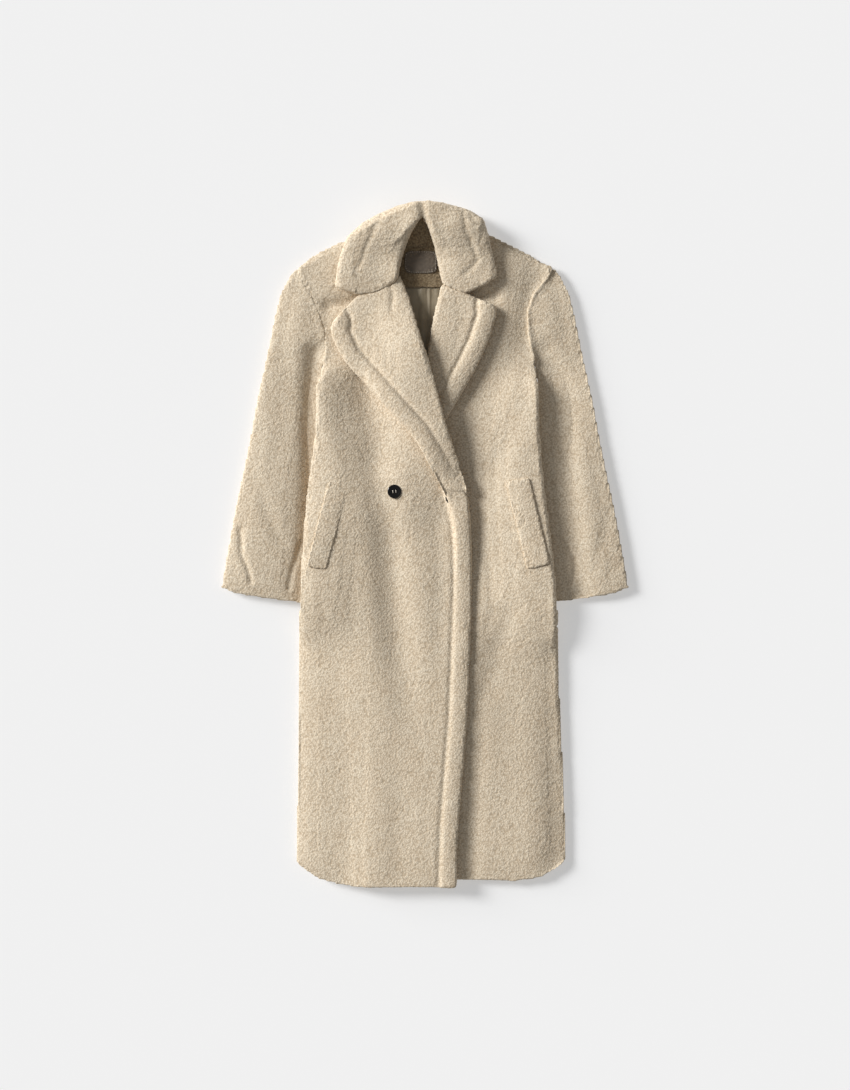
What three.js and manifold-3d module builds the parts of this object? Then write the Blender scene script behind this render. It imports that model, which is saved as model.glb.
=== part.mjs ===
import * as THREE from "three";
import { mergeVertices } from "three/addons/utils/BufferGeometryUtils.js";
import Module from "manifold-3d";

// A long double-breasted coat of curly pile cloth, laid on its back with its front up.
// Millimetres. +X is the wearer's left, +Y runs to the collar, +Z rises from the surface.
// Every cloth piece is a plan outline of four sides, filled with a grid, that lies on the
// pieces under it, and its edges are rounded like the pile.

// Cloth, seams and the room between layers
const PILE_CLOTH = 8.5;
const SEAM_GAP = 0.34;
const LAYER_GAP = 0.9;
const LOOSE_GAP = 2.3;
const LINED_GAP = 3.4;
const LAPEL_CLOTH = 13;
const HIDDEN_LAPEL_CLOTH = 5;
const COLLAR_CLOTH = 15;
const STAND_CLOTH = 8;
const FACING_CLOTH = 6;
const LINING_CLOTH = 1.5;
const LABEL_CLOTH = 1.2;
const WELT_CLOTH = 6;

// Stitched borders along the front edge, the lapels and the collar
const BORDER_WIDTH = 33;
const BORDER_RAISE = 2.6;
const STITCH_DEPTH = 2.2;
const STITCH_WIDTH = 6;

// Buttons
const BUTTON_RADIUS = 12.5;
const BUTTON_HEIGHT = 4.2;
const BUTTON_DISH = 1.2;
const BUTTON_SIDES = 24;
const HOLE_SIDES = 8;
const BUTTON_HOLE_RADIUS = 1.2;
const BUTTON_HOLE_OFFSET = 2.7;
const BUTTON_PLACE = { x: -55, y: 97 };
const FASTENING_PLACE = { x: 49, y: 86 };

// How far past the edge of what it lies on a piece stays lifted, and how steeply it then falls
const FALL = {
  back: { reach: 12, slope: 0.42, clear: LAYER_GAP },
  inside: { reach: 20 },
  label: { reach: 10 },
  frontLeft: { reach: 20 },
  frontRight: { reach: 20, slope: 0.3 },
  lapelLeft: { reach: 8, slope: 1 },
  lapelRight: { reach: 16, slope: 1 },
  collar: { reach: 7, slope: 1 },
  welt: { reach: 20 },
};

// Stretches along Y over which a form grows
const BORDER_END = { from: 60, to: 130 };
const LAPEL_GROWTH = { from: 74, to: 200, least: 0.6 };
const CREST_RISE = { from: 510, to: 575 };
// How far inside the right front's fold line the left lapel thins
const COVERED = { from: -6, to: 26 };

const rows = (columns, values) => values.map(
  (row) => Object.fromEntries(columns.map((column, k) => [column, row[k]])),
);

// Body edges: right is the wearer's right, at -X
const SIDE_SEAM = rows(["y", "right", "left"], [
  [-565, -231, 253.3],
  [-460, -230.4, 252],
  [-280, -228.6, 243.5],
  [-100, -225, 237.4],
  [0, -220, 229],
  [100, -211.5, 216],
  [200, -198, 207.5],
  [285, -196, 205],
]);
const ARMHOLE = rows(["y", "right", "left"], [
  [285, -196, 205],
  [335, -181, 196],
  [365, -177.5, 191.5],
  [400, -186.5, 186],
  [430, -196, 188],
  [455, -209, 199],
  [480, -223, 219],
  [502, -228, 232],
]);
const SLEEVE_OUTER = rows(["y", "out"], [
  [484, 249],
  [455, 262],
  [410, 273],
  [344, 286],
  [270, 303],
  [171, 321],
  [65, 344],
  [-75, 369],
]);
const CUFF = rows(["y", "out"], [
  [-102, 231],
  [-94, 288],
  [-86, 339],
]);
// How far a sleeve's inner edge is tucked under the side of the body
const SLEEVE_TUCK = rows(["y", "tuck"], [
  [264, -0.8],
  [240, -0.4],
  [205, 15],
  [150, 30],
  [50, 34],
  [-104, 38],
]);
const SHOULDER = rows(["y", "right", "left"], [
  [502, -228, 232],
  [523, -207, 198],
  [541, -175, 163],
  [555, -143, 137],
  [569, -105, 110],
]);

// Hems, from the wearer's right to the left
const HEM_RIGHT = rows(["x", "y"], [
  [-231, -565],
  [-226, -577],
  [-201, -596],
  [-160, -609],
  [-100, -616],
  [-20, -613.5],
  [57, -616.5],
]);
const HEM_LEFT = rows(["x", "y"], [
  [-74, -603],
  [60, -602],
  [180, -604],
  [213, -595],
  [240, -580],
  [253.3, -565],
]);
const HEM_BACK = rows(["x", "y"], [
  [-231, -565],
  [-214, -578],
  [-160, -594],
  [0, -597],
  [180, -592],
  [232, -578],
  [253.3, -565],
]);

// Front edges and the fold lines that the lapels turn on
const FRONT_EDGE_RIGHT = rows(["x", "y"], [
  [57, -616.5],
  [60, -508],
  [76, -307],
  [84, -88],
  [84.5, 0],
  [79, 82],
]);
const ROLL_RIGHT = rows(["x", "y"], [
  [79, 82],
  [69, 123],
  [37, 220],
  [17.5, 294],
  [-12, 391],
  [-32, 456],
  [-46.5, 487],
]);
const FRONT_EDGE_LEFT = rows(["x", "y"], [
  [-74, -603],
  [-78, -300],
  [-78, 0],
  [-72, 82],
]);
const ROLL_LEFT = rows(["x", "y"], [
  [-72, 82],
  [-40, 200],
  [-8, 300],
  [5.4, 348],
  [14, 402],
  [22.7, 439],
  [31, 473],
]);
const ROLL_FOLD = 12;

// Neck edges of the fronts, from the neck point down to the gorge
const NECK_RIGHT = rows(["x", "y"], [
  [-105, 569],
  [-86, 558],
  [-73, 530],
  [-62, 498],
]);
const NECK_LEFT = rows(["x", "y"], [
  [110, 569],
  [86, 556],
  [62, 525],
  [46, 490],
]);
const NECK_BACK = rows(["x", "y"], [
  [-105, 569],
  [-70, 556],
  [-30, 544],
  [5, 541],
  [40, 545],
  [78, 558],
  [110, 569],
]);

// Lapels: the seam to the collar, the notch, the point and the outer edge
const GORGE_RIGHT = rows(["x", "y"], [
  [-46.5, 487],
  [-60, 468],
  [-90, 454.5],
  [-119.5, 450],
]);
const NOTCH_RIGHT = rows(["x", "y"], [
  [-119.5, 450],
  [-145, 424],
  [-166, 401],
]);
const LAPEL_EDGE_RIGHT = rows(["x", "y"], [
  [-166, 401],
  [-168, 379],
  [-146, 334],
  [-110, 294],
  [-71, 250],
  [-21.6, 196],
  [7, 147],
  [34, 97],
  [45, 74],
]);
const GORGE_LEFT = rows(["x", "y"], [
  [31, 473],
  [43, 463],
  [59, 458.5],
  [73, 453],
]);
const NOTCH_LEFT = rows(["x", "y"], [
  [73, 453],
  [102, 441],
  [126, 430],
]);
const LAPEL_EDGE_LEFT = rows(["x", "y"], [
  [126, 430],
  [127, 411],
  [111.6, 363],
  [92, 320],
  [72, 284.5],
  [40, 230],
  [14, 180],
  [-20, 125],
  [-50, 82],
]);

// Collar, from the wearer's right point round the neck to the left point
const COLLAR_END_RIGHT = rows(["x", "y"], [
  [-119.5, 450.8],
  [-145, 459],
  [-161, 466],
]);
const COLLAR_END_LEFT = rows(["x", "y"], [
  [73, 453.8],
  [108, 469],
  [130, 483],
]);
const COLLAR_OUTER_RIGHT = rows(["x", "y"], [
  [-161, 466],
  [-155, 512],
  [-135, 560],
  [-79, 598],
  [-24, 616],
  [5.5, 618],
]);
const COLLAR_OUTER_LEFT = rows(["x", "y"], [
  [5.5, 618],
  [37, 614],
  [94, 597],
  [110, 573],
  [116, 541],
  [125, 511],
  [130, 483],
]);
const COLLAR_INNER_RIGHT = rows(["x", "y"], [
  [-46.5, 487],
  [-45, 504],
  [-34, 542],
  [-14, 584],
  [-4, 602],
]);
const COLLAR_INNER_LEFT = rows(["x", "y"], [
  [-4, 602],
  [3, 582],
  [17, 540],
  [22.7, 511],
  [31, 473],
]);

// Inside the neck
const STAND = rows(["x", "y"], [
  [-44, 539],
  [28, 539],
  [7, 599],
  [-15, 599],
]);
const NECK_FACING = rows(["x", "y"], [
  [-47, 466],
  [33, 466],
  [36, 538.4],
  [-52, 538.4],
]);
const LINING = rows(["x", "y"], [
  [-42, 300],
  [22, 300],
  [36, 464],
  [-56, 464],
]);
const LABEL = rows(["x", "y"], [
  [-37, 490],
  [22, 490],
  [22, 531],
  [-37, 531],
]);

// Pocket welts: lower outer, lower inner, upper inner, upper outer corner
const WELT_RIGHT = rows(["x", "y"], [
  [-213, -38],
  [-178, -43],
  [-138, 101],
  [-173, 115],
]);
const WELT_LEFT = rows(["x", "y"], [
  [184, -42],
  [224, -33],
  [187, 121],
  [144, 115],
]);

// Soft folds: the line of the crest in plan, its half width and its height
const FOLDS_RIGHT = rows(["crest", "width", "height"], [
  [[[-186, 280], [-153, 109], [-184, 10]], 24, 3.4],
  [[[-184, 10], [-171, -170], [-172, -560]], 26, 3],
  [[[-92, 262], [-48, 46], [-32, -278]], 32, 2.4],
]);
const FOLDS_LEFT = rows(["crest", "width", "height"], [
  [[[146, 300], [152, 110], [150, -98]], 30, 3],
  [[[205, -170], [198, -560]], 26, 3],
  [[[112, -150], [120, -420]], 30, 2],
]);
const SLEEVE_LOFT = 3.2;
const SLEEVE_PILE_LOFT = 2.6;
const TUCK_WIDTH = 42;
const TUCK_START = { y: 258 };
const TUCK_MARGIN = 20;

// Grid lines: shares of a side, closer together near the edges
const LIPPED = (count, first, second) => {
  const inner = Array.from({ length: count - 1 }, (_, k) => (k + 1) / count);
  const kept = inner.filter((share) => share > second * 1.4 && share < 1 - second * 1.4);
  return [0, first, second, ...kept, 1 - second, 1 - first, 1];
};
const EVEN = (count) => Array.from({ length: count + 1 }, (_, k) => k / count);

const points = (table) => table.map(({ x, y }) => new THREE.Vector2(x, y));
const bodyEdge = (table, side) => table.map((row) => new THREE.Vector2(row[side], row.y));
const sleeveEdge = (table, side) => {
  const sign = side === "left" ? 1 : -1;
  return table.map(({ out, y }) => new THREE.Vector2(sign * out, y));
};
const along = (list, shares) => {
  const curve = new THREE.SplineCurve(list);
  curve.arcLengthDivisions = 400;
  return shares.map((share) => curve.getPointAt(share));
};
const chain = (...parts) => parts.flatMap((part, k) => (k ? part.slice(1) : part));
const straight = (from, to, shares) => shares.map((share) => from.clone().lerp(to, share));

function lengthShares(side) {
  const sums = [0];
  for (let k = 1; k < side.length; k += 1) {
    sums.push(sums[k - 1] + side[k].distanceTo(side[k - 1]));
  }
  return sums.map((sum) => sum / sums[sums.length - 1]);
}

// Grid filled between four sides: bottom and top run to +X, first and last run upwards
function planGrid({ bottom, top, first, last }) {
  const meanShares = (a, b) => {
    const other = lengthShares(b);
    return lengthShares(a).map((share, k) => (share + other[k]) / 2);
  };
  const across = meanShares(bottom, top);
  const up = meanShares(first, last);
  const end = bottom.length - 1;
  return up.map((v, j) => across.map((u, i) => {
    const ruled = new THREE.Vector2()
      .addScaledVector(bottom[i], 1 - v)
      .addScaledVector(top[i], v)
      .addScaledVector(first[j], 1 - u)
      .addScaledVector(last[j], u);
    return ruled
      .addScaledVector(bottom[0], -(1 - u) * (1 - v))
      .addScaledVector(bottom[end], -u * (1 - v))
      .addScaledVector(top[0], -(1 - u) * v)
      .addScaledVector(top[end], -u * v);
  }));
}

function distanceToLine(point, line) {
  let nearest = Infinity;
  for (let k = 1; k < line.length; k += 1) {
    const span = line[k].clone().sub(line[k - 1]);
    const share = point.clone().sub(line[k - 1]).dot(span) / span.lengthSq();
    const foot = line[k - 1].clone().addScaledVector(span, THREE.MathUtils.clamp(share, 0, 1));
    nearest = Math.min(nearest, point.distanceTo(foot));
  }
  return nearest;
}

const smooth = THREE.MathUtils.smoothstep;

// Height of a laid piece at a plan point, and how far outside the piece the point is
const BLEND_REACH = 10;
const BLEND_SOFTNESS = 2;
function pieceHeight(piece, point) {
  let nearest = Infinity;
  for (const sample of piece.cover) {
    nearest = Math.min(nearest, Math.hypot(point.x - sample.x, point.y - sample.y));
  }
  let total = 0;
  let weights = 0;
  for (const sample of piece.cover) {
    const away = Math.hypot(point.x - sample.x, point.y - sample.y);
    if (away < nearest + BLEND_REACH) {
      const weight = 1 / (away * away + BLEND_SOFTNESS) ** 2;
      total += weight * sample.z;
      weights += weight;
    }
  }
  return { height: total / weights, outside: Math.max(0, nearest - piece.coverStep) };
}

// Cloth falls from the edge of what it lies on at a limited slope, down to the surface
const FALL_SOFTNESS = 12;
function restHeight(point, { on = [], reach = 18, slope = 0.35, clear = 0 }) {
  return on.reduce((highest, piece) => {
    const { height, outside } = pieceHeight(piece, point);
    const beyond = Math.max(0, outside - reach);
    const fallen = height + clear - (slope * beyond * beyond) / (beyond + FALL_SOFTNESS);
    return Math.max(highest, fallen);
  }, 0);
}

// Samples of a piece's upper side, close enough to rest other pieces on
const COVER_STEP = 9;
function coverSamples(grid, heights) {
  const cover = [];
  for (let j = 0; j < grid.length - 1; j += 1) {
    for (let i = 0; i < grid[0].length - 1; i += 1) {
      const wide = grid[j][i].distanceTo(grid[j][i + 1]);
      const tall = grid[j][i].distanceTo(grid[j + 1][i]);
      const nu = Math.max(1, Math.ceil(wide / COVER_STEP));
      const nv = Math.max(1, Math.ceil(tall / COVER_STEP));
      for (let b = 0; b <= nv; b += 1) {
        for (let a = 0; a <= nu; a += 1) {
          const [u, v] = [a / nu, b / nv];
          const low = grid[j][i].clone().lerp(grid[j][i + 1], u);
          const high = grid[j + 1][i].clone().lerp(grid[j + 1][i + 1], u);
          const place = low.lerp(high, v);
          const lowHeight = THREE.MathUtils.lerp(heights[j][i], heights[j][i + 1], u);
          const highHeight = THREE.MathUtils.lerp(heights[j + 1][i], heights[j + 1][i + 1], u);
          cover.push({
            x: place.x,
            y: place.y,
            z: THREE.MathUtils.lerp(lowHeight, highHeight, v),
          });
        }
      }
    }
  }
  return cover;
}

// One closed cloth piece. edges gives for each side, at a plan point, the height of its rim as a
// share of the thickness, and the radius over which the cloth rounds to that rim.
function clothPiece({ sides, rest = {}, gap = () => 0, thickness, lift = () => 0, edges, base }) {
  const grid = planGrid(sides);
  const [rowsUp, across] = [grid.length - 1, grid[0].length - 1];
  const turned = (sides.bottom[across].x - sides.bottom[0].x) * (sides.last[rowsUp].y
    - sides.last[0].y) < 0;
  const names = ["bottom", "top", "first", "last"];
  const positions = [];
  const nominal = grid.map(() => []);
  const upperIndex = grid.map(() => []);
  const lowerIndex = grid.map(() => []);
  const addVertex = (place, z) => positions.push(place.x, place.y, z) / 3 - 1;
  grid.forEach((line, j) => line.forEach((place, i) => {
    const away = Object.fromEntries(
      names.map((name) => [name, distanceToLine(place, sides[name])]),
    );
    const share = { u: i / across, v: j / rowsUp };
    const ground = base ? base(place, away) : restHeight(place, rest);
    const under = ground + gap(place, away) + lift(place, away, share);
    const thick = thickness(place, away, share);
    let roundness = 1;
    let pull = 0;
    let pulls = 0;
    names.forEach((name) => {
      const { rim, radius } = edges[name](place);
      const inset = Math.min(away[name] / radius, 1);
      roundness = Math.min(roundness, Math.sqrt(1 - (1 - inset) ** 2));
      const weight = 1 / (away[name] + BLEND_SOFTNESS) ** 2;
      pull += weight * rim;
      pulls += weight;
    });
    const rimHeight = under + (thick * pull) / pulls;
    nominal[j][i] = under + thick;
    const onEdge = i === 0 || j === 0 || i === across || j === rowsUp;
    if (onEdge) {
      const inward = grid[Math.min(Math.max(j, 1), rowsUp - 1)][Math.min(Math.max(i, 1), across - 1)];
      const seam = inward.clone().sub(place).setLength(SEAM_GAP / 2);
      const index = addVertex(place.clone().add(seam), rimHeight);
      upperIndex[j][i] = index;
      lowerIndex[j][i] = index;
    } else {
      upperIndex[j][i] = addVertex(place, rimHeight + (under + thick - rimHeight) * roundness);
      lowerIndex[j][i] = addVertex(place, rimHeight - (rimHeight - under) * roundness);
    }
  }));
  const faces = [];
  const addFace = (a, b, c, flip) => faces.push(...(flip ? [a, c, b] : [a, b, c]));
  for (let j = 0; j < rowsUp; j += 1) {
    for (let i = 0; i < across; i += 1) {
      const steep = (i === across - 1 && j === 0) || (i === 0 && j === rowsUp - 1);
      [[upperIndex, turned], [lowerIndex, !turned]].forEach(([index, flip]) => {
        const corners = [index[j][i], index[j][i + 1], index[j + 1][i + 1], index[j + 1][i]];
        const [a, b, c, d] = steep ? [corners[1], corners[2], corners[3], corners[0]] : corners;
        addFace(a, b, c, flip);
        addFace(a, c, d, flip);
      });
    }
  }
  const geometry = new THREE.BufferGeometry();
  geometry.setAttribute("position", new THREE.Float32BufferAttribute(positions, 3));
  geometry.setIndex(faces);
  return { geometry, cover: coverSamples(grid, nominal), coverStep: COVER_STEP };
}

const group = new THREE.Group();
const pile = new THREE.MeshStandardMaterial({ color: 0xcdb999, roughness: 0.96, metalness: 0 });
const satin = new THREE.MeshStandardMaterial({ color: 0x9b8d76, roughness: 0.5, metalness: 0 });
const woven = new THREE.MeshStandardMaterial({ color: 0x9a9391, roughness: 0.7, metalness: 0 });
const resin = new THREE.MeshStandardMaterial({ color: 0x1a1512, roughness: 0.2, metalness: 0 });

function place(name, geometry, look) {
  const mesh = new THREE.Mesh(geometry, look.clone());
  mesh.name = name;
  group.add(mesh);
}

// Room between layers, closing to a seam's gap at a side that is sewn
const ROOM_WIDTH = 8;
const roomBetween = (inner, ...sewn) => (point, away) => {
  const nearest = Math.min(...sewn.map((side) => away[side]));
  return SEAM_GAP + (inner - SEAM_GAP) * smooth(nearest, 0, ROOM_WIDTH);
};

// Raised stitched border along one side
const BORDER_SHOULDER = { inside: 4, outside: 2 };
const border = (distance) => {
  const inner = BORDER_WIDTH - BORDER_SHOULDER.inside;
  const outer = BORDER_WIDTH + BORDER_SHOULDER.outside;
  const raised = BORDER_RAISE * (1 - smooth(distance, inner, outer));
  const stitch = STITCH_DEPTH * Math.exp(-(((distance - BORDER_WIDTH) / STITCH_WIDTH) ** 2));
  return raised - stitch;
};

const foldHeight = (folds) => {
  const crests = folds.map(({ crest, width, height }) => ({
    line: crest.map(([x, y]) => new THREE.Vector2(x, y)),
    width,
    height,
  }));
  return (point) => crests.reduce((sum, { line, width, height }) => (
    sum + height * Math.exp(-((distanceToLine(point, line) / width) ** 2))
  ), 0);
};

const SEWN_UNDER = () => ({ rim: 1, radius: 11 });
const SEWN_OVER = () => ({ rim: 0, radius: 11 });
const FREE_EDGE = () => ({ rim: 0.4, radius: 7 });
const CUT_EDGE = () => ({ rim: 0.5, radius: 2 });
const ARMHOLE_SEAM = { rim: 0.5, radius: 8 };
const UNDERARM = { from: 288, to: 335 };
// The body's edge: closed low along the side seam, and a shallow seam round the armhole
const BODY_EDGE = ({ y }) => {
  const up = smooth(y, UNDERARM.from, UNDERARM.to);
  return {
    rim: THREE.MathUtils.lerp(SEWN_OVER().rim, ARMHOLE_SEAM.rim, up),
    radius: THREE.MathUtils.lerp(SEWN_OVER().radius, ARMHOLE_SEAM.radius, up),
  };
};

// Grid shares that pieces sewn to each other have in common
const ARMHOLE_SHARES = [0, 0.05, 0.18, 0.32, 0.46, 0.6, 0.74, 0.87, 0.965, 1];
const SIDE_SHARES = [0, 0.002, 0.009, 0.05, 0.13, 0.22, 0.31, 0.4, 0.455, 0.495, 0.54, 0.59, 0.65,
  0.71, 0.77, 0.83, 0.89, 0.945, 0.98, 1];
const EDGE_SHARES = SIDE_SHARES.slice(0, -3).map((share) => share / SIDE_SHARES.at(-4));
const BODY_ROWS = SIDE_SHARES.length + ARMHOLE_SHARES.length - 2;

const bodySide = (side) => chain(
  along(bodyEdge(SIDE_SEAM, side), SIDE_SHARES),
  along(bodyEdge(ARMHOLE, side), ARMHOLE_SHARES),
);
const shoulder = (side, shares) => along(bodyEdge(SHOULDER, side), shares);

// Sleeves: an under and an upper piece, flattened, sewn to the armhole
const SLEEVE_ROWS = [0, 0.006, 0.028, 0.09, 0.17, 0.25, 0.33, 0.42, 0.52, 0.63, 0.75, 0.87, 0.96,
  0.993, 1];
function sideAt(side, y) {
  const above = SIDE_SEAM.findIndex((row) => row.y >= y);
  const [low, high] = [SIDE_SEAM[above - 1], SIDE_SEAM[above]];
  return THREE.MathUtils.mapLinear(y, low.y, high.y, low[side], high[side]);
}
function sleeve(side) {
  const sign = side === "left" ? 1 : -1;
  const armhole = along(bodyEdge(ARMHOLE, side), ARMHOLE_SHARES);
  const tucked = SLEEVE_TUCK.map(({ y, tuck }) => new THREE.Vector2(sideAt(side, y) - sign * tuck, y));
  const outer = along([armhole.at(-1), ...sleeveEdge(SLEEVE_OUTER, side)], SLEEVE_ROWS);
  const inner = along([armhole[0], ...tucked], SLEEVE_ROWS);
  const cuff = along([inner.at(-1), ...sleeveEdge(CUFF, side), outer.at(-1)], ARMHOLE_SHARES);
  const sides = { bottom: cuff, top: armhole, first: inner.reverse(), last: outer.reverse() };
  const puff = ({ v }, { first, last }) => smooth(first, TUCK_WIDTH, TUCK_WIDTH * 2)
    * smooth(last, 0, TUCK_WIDTH) * smooth(v, 0, 0.2) * (1 - smooth(v, 0.8, 1));
  const under = clothPiece({
    sides,
    thickness: () => PILE_CLOTH,
    edges: { bottom: FREE_EDGE, top: SEWN_UNDER, first: SEWN_UNDER, last: SEWN_UNDER },
  });
  const upper = clothPiece({
    sides,
    rest: { on: [under] },
    gap: roomBetween(LAYER_GAP, "top", "first", "last"),
    lift: (point, away, share) => SLEEVE_LOFT * puff(share, away),
    thickness: (point, away, share) => PILE_CLOTH + SLEEVE_PILE_LOFT * puff(share, away),
    edges: { bottom: FREE_EDGE, top: BODY_EDGE, first: SEWN_OVER, last: SEWN_OVER },
  });
  place(`sleeve_${side}_under`, under.geometry, pile);
  place(`sleeve_${side}_upper`, upper.geometry, pile);
  const underBody = ({ x, y }) => y < TUCK_START.y
    && inner.some((point) => Math.hypot(point.x - x, point.y - y) < TUCK_WIDTH + TUCK_MARGIN);
  return { cover: upper.cover.filter(underBody), coverStep: COVER_STEP };
}
const tuckedSleeves = [sleeve("right"), sleeve("left")];

// Back, lifted at its sides over the part of each sleeve that is tucked under it
const backTop = chain(
  shoulder("right", [0, 0.012, 0.06, 0.34, 0.67, 1]),
  along(points(NECK_BACK), EVEN(6)),
  shoulder("left", [0, 0.012, 0.06, 0.34, 0.67, 1]).reverse(),
);
const back = clothPiece({
  sides: {
    bottom: along(points(HEM_BACK), lengthShares(backTop)),
    top: backTop,
    first: bodySide("right"),
    last: bodySide("left"),
  },
  rest: { on: tuckedSleeves, ...FALL.back },
  thickness: () => PILE_CLOTH,
  edges: { bottom: FREE_EDGE, top: SEWN_UNDER, first: SEWN_UNDER, last: SEWN_UNDER },
});
place("back", back.geometry, pile);

// Pieces with four straight sides, from their corners
function fourSided(corners, acrossShares, upShares) {
  const [a, b, c, d] = points(corners);
  return {
    bottom: straight(a, b, acrossShares),
    top: straight(d, c, acrossShares),
    first: straight(a, d, upShares),
    last: straight(b, c, upShares),
  };
}

// Inside the neck: facing, lining with its centre pleat, and the bare label
const CUT_EDGES = { bottom: CUT_EDGE, top: CUT_EDGE, first: CUT_EDGE, last: CUT_EDGE };
const SOFT_EDGES = { bottom: FREE_EDGE, top: FREE_EDGE, first: FREE_EDGE, last: FREE_EDGE };
const onBack = { on: [back], ...FALL.inside };
const neckFacing = clothPiece({
  sides: fourSided(NECK_FACING, LIPPED(5, 0.02, 0.07), LIPPED(5, 0.02, 0.08)),
  rest: onBack,
  gap: () => LAYER_GAP,
  thickness: () => FACING_CLOTH,
  edges: SOFT_EDGES,
});
place("back_neck_facing", neckFacing.geometry, pile);

const PLEAT_X = 2;
const PLEAT_WIDTH = 7;
const PLEAT_RISE = 1.4;
const lining = clothPiece({
  sides: fourSided(LINING, LIPPED(9, 0.02, 0.06), LIPPED(8, 0.008, 0.03)),
  rest: onBack,
  gap: () => LAYER_GAP / 2,
  thickness: ({ x }) => LINING_CLOTH + PLEAT_RISE * (x > PLEAT_X - PLEAT_WIDTH && x < PLEAT_X ? 1 : 0),
  edges: CUT_EDGES,
});
place("back_lining", lining.geometry, satin);

const label = clothPiece({
  sides: fourSided(LABEL, LIPPED(4, 0.03, 0.08), LIPPED(3, 0.04, 0.1)),
  rest: { on: [neckFacing], ...FALL.label },
  gap: () => LAYER_GAP / 2,
  thickness: () => LABEL_CLOTH,
  edges: CUT_EDGES,
});
place("neck_label", label.geometry, woven);

// Fronts. The fold line of each lapel is set back, so that the lapel turns round it.
function setBack(line, distance, side) {
  const sign = side === "right" ? -1 : 1;
  return line.map((point, k) => {
    const ahead = line[Math.min(k + 1, line.length - 1)];
    const behind = line[Math.max(k - 1, 0)];
    const run = ahead.clone().sub(behind).normalize();
    const depth = distance * smooth(k, 0, 2);
    return new THREE.Vector2(point.x + sign * run.y * depth, point.y - sign * run.x * depth);
  });
}
function frontSides(side) {
  const right = side === "right";
  const edge = along(points(right ? FRONT_EDGE_RIGHT : FRONT_EDGE_LEFT), EDGE_SHARES);
  const rollRows = BODY_ROWS - EDGE_SHARES.length + 1;
  const roll = along(points(right ? ROLL_RIGHT : ROLL_LEFT), EVEN(rollRows));
  const neckEnd = points(right ? NECK_RIGHT : NECK_LEFT).at(-1);
  const turned = setBack(roll, ROLL_FOLD, side);
  turned[turned.length - 1] = neckEnd;
  const opening = chain(edge, turned);
  const neck = along(points(right ? NECK_RIGHT : NECK_LEFT), [0, 0.3, 0.56, 0.66, 0.75, 0.9, 0.97, 1]);
  const top = chain(shoulder(side, [0, 0.014, 0.07, 0.3, 0.53, 0.76, 1]), neck);
  const sides = right
    ? { top, first: bodySide(side), last: opening }
    : { top: top.reverse(), first: opening, last: bodySide(side) };
  return { ...sides, bottom: along(points(right ? HEM_RIGHT : HEM_LEFT), lengthShares(sides.top)) };
}

const LINED_ROOM = (sewn) => roomBetween(LINED_GAP, "top", sewn);
const frontLeft = clothPiece({
  sides: frontSides("left"),
  rest: { on: [back], ...FALL.frontLeft },
  gap: LINED_ROOM("last"),
  lift: foldHeight(FOLDS_LEFT),
  thickness: () => PILE_CLOTH,
  edges: { bottom: FREE_EDGE, top: SEWN_OVER, first: FREE_EDGE, last: BODY_EDGE },
});
place("front_left", frontLeft.geometry, pile);

// Lapels: doubled cloth turned out along the fold line
const COLLAR_SEAM = () => ({ rim: 0.4, radius: 6 });
const LAPEL_FOLD = () => ({ rim: 0.2, radius: 16 });
const LAPEL_RIM = () => ({ rim: 0.35, radius: 9 });
const LAPEL_FOOT = () => ({ rim: 0.2, radius: 14 });
const LAPEL_ROWS = LIPPED(16, 0.006, 0.03);
function lapel(side, rest, thickness) {
  const right = side === "right";
  const gorge = along(points(right ? GORGE_RIGHT : GORGE_LEFT), [0, 0.05, 0.2, 0.6, 1]);
  const notch = along(points(right ? NOTCH_RIGHT : NOTCH_LEFT), [0, 0.35, 0.7, 0.94, 1]);
  const top = chain(gorge, notch);
  const roll = along(points(right ? ROLL_RIGHT : ROLL_LEFT), LAPEL_ROWS);
  const outer = along(points(right ? LAPEL_EDGE_RIGHT : LAPEL_EDGE_LEFT), LAPEL_ROWS).reverse();
  const shares = lengthShares(top);
  const foot = straight(roll[0], outer[0], shares);
  const ends = { bottom: LAPEL_FOOT, top: COLLAR_SEAM };
  return clothPiece({
    sides: right
      ? { bottom: foot.reverse(), top: top.reverse(), first: outer, last: roll }
      : { bottom: foot, top, first: roll, last: outer },
    rest,
    gap: () => LOOSE_GAP,
    thickness,
    edges: right
      ? { ...ends, first: LAPEL_RIM, last: LAPEL_FOLD }
      : { ...ends, first: LAPEL_FOLD, last: LAPEL_RIM },
  });
}

// The wearer's left lapel thins where the right front covers it
const rollRightLine = along(points(ROLL_RIGHT), EVEN(16));
const isCovered = ({ x, y }) => {
  const above = rollRightLine.findIndex((point) => point.y > y);
  const limit = above > 0 ? rollRightLine[above].x : rollRightLine[0].x;
  return above < 0 ? 0 : smooth(limit - x, COVERED.from, COVERED.to);
};
const lapelLeft = lapel("left", { on: [frontLeft, back, lining], ...FALL.lapelLeft },
  (point, away) => THREE.MathUtils.lerp(
    LAPEL_CLOTH + border(away.last),
    HIDDEN_LAPEL_CLOTH,
    isCovered(point),
  ));
place("lapel_left", lapelLeft.geometry, pile);
const coveredLapel = {
  cover: lapelLeft.cover.filter((sample) => isCovered(sample) > 0),
  coverStep: COVER_STEP,
};

const frontRight = clothPiece({
  sides: frontSides("right"),
  rest: { on: [back, frontLeft, coveredLapel], ...FALL.frontRight },
  gap: LINED_ROOM("first"),
  lift: foldHeight(FOLDS_RIGHT),
  thickness: (point, away) => PILE_CLOTH
    + border(away.last) * (1 - smooth(point.y, BORDER_END.from, BORDER_END.to)),
  edges: { bottom: FREE_EDGE, top: SEWN_OVER, first: BODY_EDGE, last: FREE_EDGE },
});
place("front_right", frontRight.geometry, pile);

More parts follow.
